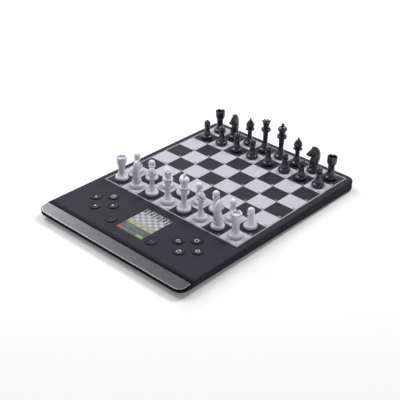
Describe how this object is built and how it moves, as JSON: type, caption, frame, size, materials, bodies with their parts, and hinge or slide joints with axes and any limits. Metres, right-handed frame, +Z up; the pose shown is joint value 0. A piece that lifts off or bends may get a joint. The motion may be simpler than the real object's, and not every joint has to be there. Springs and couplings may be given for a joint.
{
  "type": "electronic chess computer",
  "caption": "Flat electronic chess computer with a sensor board, colour display, round push buttons, brushed front strip and a full set of loose chessmen set up to play.",
  "frame": {"origin": "on the table under the middle of the case, at the underside of the rubber feet", "axes": "+X to the player's right, +Y away from the player to the far edge of the board, +Z up"},
  "size_m": [0.286, 0.3976, 0.0793],
  "materials": {
    "console_panel": "fine satin texture, charcoal",
    "brushed_strip": "brushed lengthwise",
    "lower_shell": "matt, near black",
    "rubber": "matt",
    "cell_jacket": "satin sleeve",
    "bright_metal": "plated",
    "speaker_frame": "satin",
    "board_sheet": "printed film with light and dark squares",
    "circuit_laminate": "green resist",
    "clear_window": "clear, polished",
    "display_panel": "colour display image",
    "keypad_rubber": "translucent grey",
    "button_cap": "semi-gloss with a printed sign",
    "white_men": "polished, cool white",
    "black_men": "polished, blue black"
  },
  "bodies": {
    "console": {"top_case": "console_panel", "front_trim": "brushed_strip", "bottom_case": "lower_shell", "rubber_feet": "rubber", "battery_cells": "cell_jacket", "battery_contacts": "bright_metal", "speaker": "speaker_frame", "case_screws": "bright_metal", "board_screws": "bright_metal", "power_socket": "bright_metal", "playing_board": "board_sheet", "sensor_board": "circuit_laminate", "display_window": "clear_window", "lcd_module": "display_panel", "main_circuit_board": "circuit_laminate", "keypad_sheet": "keypad_rubber"},
    "battery_door": {"battery_door": "lower_shell"},
    "button_left_west": {"button_left_west": "button_cap"},
    "button_left_east": {"button_left_east": "button_cap"},
    "button_left_north": {"button_left_north": "button_cap"},
    "button_left_south": {"button_left_south": "button_cap"},
    "button_right_west": {"button_right_west": "button_cap"},
    "button_right_east": {"button_right_east": "button_cap"},
    "button_right_north": {"button_right_north": "button_cap"},
    "button_right_south": {"button_right_south": "button_cap"},
    "button_red": {"button_red": "button_cap"},
    "button_green": {"button_green": "button_cap"},
    "white_rook_a1": {"white_rook_a1": "white_men"},
    "white_pawn_a2": {"white_pawn_a2": "white_men"},
    "black_pawn_a7": {"black_pawn_a7": "black_men"},
    "black_rook_a8": {"black_rook_a8": "black_men"},
    "white_knight_b1": {"white_knight_b1": "white_men"},
    "white_pawn_b2": {"white_pawn_b2": "white_men"},
    "black_pawn_b7": {"black_pawn_b7": "black_men"},
    "black_knight_b8": {"black_knight_b8": "black_men"},
    "white_bishop_c1": {"white_bishop_c1": "white_men"},
    "white_pawn_c2": {"white_pawn_c2": "white_men"},
    "black_pawn_c7": {"black_pawn_c7": "black_men"},
    "black_bishop_c8": {"black_bishop_c8": "black_men"},
    "white_queen_d1": {"white_queen_d1": "white_men"},
    "white_pawn_d2": {"white_pawn_d2": "white_men"},
    "black_pawn_d7": {"black_pawn_d7": "black_men"},
    "black_queen_d8": {"black_queen_d8": "black_men"},
    "white_king_e1": {"white_king_e1": "white_men"},
    "white_pawn_e2": {"white_pawn_e2": "white_men"},
    "black_pawn_e7": {"black_pawn_e7": "black_men"},
    "black_king_e8": {"black_king_e8": "black_men"},
    "white_bishop_f1": {"white_bishop_f1": "white_men"},
    "white_pawn_f2": {"white_pawn_f2": "white_men"},
    "black_pawn_f7": {"black_pawn_f7": "black_men"},
    "black_bishop_f8": {"black_bishop_f8": "black_men"},
    "white_knight_g1": {"white_knight_g1": "white_men"},
    "white_pawn_g2": {"white_pawn_g2": "white_men"},
    "black_pawn_g7": {"black_pawn_g7": "black_men"},
    "black_knight_g8": {"black_knight_g8": "black_men"},
    "white_rook_h1": {"white_rook_h1": "white_men"},
    "white_pawn_h2": {"white_pawn_h2": "white_men"},
    "black_pawn_h7": {"black_pawn_h7": "black_men"},
    "black_rook_h8": {"black_rook_h8": "black_men"}
  },
  "joints": [
    {"name": "button_left_west_press", "type": "slide", "parent": "console", "child": "button_left_west", "axis": [0, 0, -1], "range_m": [0, 0.0012], "stiffness_N_per_m": 600},
    {"name": "button_left_east_press", "type": "slide", "parent": "console", "child": "button_left_east", "axis": [0, 0, -1], "range_m": [0, 0.0012], "stiffness_N_per_m": 600},
    {"name": "button_left_north_press", "type": "slide", "parent": "console", "child": "button_left_north", "axis": [0, 0, -1], "range_m": [0, 0.0012], "stiffness_N_per_m": 600},
    {"name": "button_left_south_press", "type": "slide", "parent": "console", "child": "button_left_south", "axis": [0, 0, -1], "range_m": [0, 0.0012], "stiffness_N_per_m": 600},
    {"name": "button_right_west_press", "type": "slide", "parent": "console", "child": "button_right_west", "axis": [0, 0, -1], "range_m": [0, 0.0012], "stiffness_N_per_m": 600},
    {"name": "button_right_east_press", "type": "slide", "parent": "console", "child": "button_right_east", "axis": [0, 0, -1], "range_m": [0, 0.0012], "stiffness_N_per_m": 600},
    {"name": "button_right_north_press", "type": "slide", "parent": "console", "child": "button_right_north", "axis": [0, 0, -1], "range_m": [0, 0.0012], "stiffness_N_per_m": 600},
    {"name": "button_right_south_press", "type": "slide", "parent": "console", "child": "button_right_south", "axis": [0, 0, -1], "range_m": [0, 0.0012], "stiffness_N_per_m": 600},
    {"name": "button_red_press", "type": "slide", "parent": "console", "child": "button_red", "axis": [0, 0, -1], "range_m": [0, 0.0012], "stiffness_N_per_m": 600},
    {"name": "button_green_press", "type": "slide", "parent": "console", "child": "button_green", "axis": [0, 0, -1], "range_m": [0, 0.0012], "stiffness_N_per_m": 600},
    {"name": "battery_door_off", "type": "slide", "parent": "console", "child": "battery_door", "axis": [0, 0, -1], "range_m": [0, 0.03]},
    {"name": "white_rook_a1_lift", "type": "slide", "parent": "console", "child": "white_rook_a1", "axis": [0, 0, 1], "range_m": [0, 0.07]},
    {"name": "white_pawn_a2_lift", "type": "slide", "parent": "console", "child": "white_pawn_a2", "axis": [0, 0, 1], "range_m": [0, 0.07]},
    {"name": "black_pawn_a7_lift", "type": "slide", "parent": "console", "child": "black_pawn_a7", "axis": [0, 0, 1], "range_m": [0, 0.07]},
    {"name": "black_rook_a8_lift", "type": "slide", "parent": "console", "child": "black_rook_a8", "axis": [0, 0, 1], "range_m": [0, 0.07]},
    {"name": "white_knight_b1_lift", "type": "slide", "parent": "console", "child": "white_knight_b1", "axis": [0, 0, 1], "range_m": [0, 0.07]},
    {"name": "white_pawn_b2_lift", "type": "slide", "parent": "console", "child": "white_pawn_b2", "axis": [0, 0, 1], "range_m": [0, 0.07]},
    {"name": "black_pawn_b7_lift", "type": "slide", "parent": "console", "child": "black_pawn_b7", "axis": [0, 0, 1], "range_m": [0, 0.07]},
    {"name": "black_knight_b8_lift", "type": "slide", "parent": "console", "child": "black_knight_b8", "axis": [0, 0, 1], "range_m": [0, 0.07]},
    {"name": "white_bishop_c1_lift", "type": "slide", "parent": "console", "child": "white_bishop_c1", "axis": [0, 0, 1], "range_m": [0, 0.07]},
    {"name": "white_pawn_c2_lift", "type": "slide", "parent": "console", "child": "white_pawn_c2", "axis": [0, 0, 1], "range_m": [0, 0.07]},
    {"name": "black_pawn_c7_lift", "type": "slide", "parent": "console", "child": "black_pawn_c7", "axis": [0, 0, 1], "range_m": [0, 0.07]},
    {"name": "black_bishop_c8_lift", "type": "slide", "parent": "console", "child": "black_bishop_c8", "axis": [0, 0, 1], "range_m": [0, 0.07]},
    {"name": "white_queen_d1_lift", "type": "slide", "parent": "console", "child": "white_queen_d1", "axis": [0, 0, 1], "range_m": [0, 0.07]},
    {"name": "white_pawn_d2_lift", "type": "slide", "parent": "console", "child": "white_pawn_d2", "axis": [0, 0, 1], "range_m": [0, 0.07]},
    {"name": "black_pawn_d7_lift", "type": "slide", "parent": "console", "child": "black_pawn_d7", "axis": [0, 0, 1], "range_m": [0, 0.07]},
    {"name": "black_queen_d8_lift", "type": "slide", "parent": "console", "child": "black_queen_d8", "axis": [0, 0, 1], "range_m": [0, 0.07]},
    {"name": "white_king_e1_lift", "type": "slide", "parent": "console", "child": "white_king_e1", "axis": [0, 0, 1], "range_m": [0, 0.07]},
    {"name": "white_pawn_e2_lift", "type": "slide", "parent": "console", "child": "white_pawn_e2", "axis": [0, 0, 1], "range_m": [0, 0.07]},
    {"name": "black_pawn_e7_lift", "type": "slide", "parent": "console", "child": "black_pawn_e7", "axis": [0, 0, 1], "range_m": [0, 0.07]},
    {"name": "black_king_e8_lift", "type": "slide", "parent": "console", "child": "black_king_e8", "axis": [0, 0, 1], "range_m": [0, 0.07]},
    {"name": "white_bishop_f1_lift", "type": "slide", "parent": "console", "child": "white_bishop_f1", "axis": [0, 0, 1], "range_m": [0, 0.07]},
    {"name": "white_pawn_f2_lift", "type": "slide", "parent": "console", "child": "white_pawn_f2", "axis": [0, 0, 1], "range_m": [0, 0.07]},
    {"name": "black_pawn_f7_lift", "type": "slide", "parent": "console", "child": "black_pawn_f7", "axis": [0, 0, 1], "range_m": [0, 0.07]},
    {"name": "black_bishop_f8_lift", "type": "slide", "parent": "console", "child": "black_bishop_f8", "axis": [0, 0, 1], "range_m": [0, 0.07]},
    {"name": "white_knight_g1_lift", "type": "slide", "parent": "console", "child": "white_knight_g1", "axis": [0, 0, 1], "range_m": [0, 0.07]},
    {"name": "white_pawn_g2_lift", "type": "slide", "parent": "console", "child": "white_pawn_g2", "axis": [0, 0, 1], "range_m": [0, 0.07]},
    {"name": "black_pawn_g7_lift", "type": "slide", "parent": "console", "child": "black_pawn_g7", "axis": [0, 0, 1], "range_m": [0, 0.07]},
    {"name": "black_knight_g8_lift", "type": "slide", "parent": "console", "child": "black_knight_g8", "axis": [0, 0, 1], "range_m": [0, 0.07]},
    {"name": "white_rook_h1_lift", "type": "slide", "parent": "console", "child": "white_rook_h1", "axis": [0, 0, 1], "range_m": [0, 0.07]},
    {"name": "white_pawn_h2_lift", "type": "slide", "parent": "console", "child": "white_pawn_h2", "axis": [0, 0, 1], "range_m": [0, 0.07]},
    {"name": "black_pawn_h7_lift", "type": "slide", "parent": "console", "child": "black_pawn_h7", "axis": [0, 0, 1], "range_m": [0, 0.07]},
    {"name": "black_rook_h8_lift", "type": "slide", "parent": "console", "child": "black_rook_h8", "axis": [0, 0, 1], "range_m": [0, 0.07]}
  ]
}
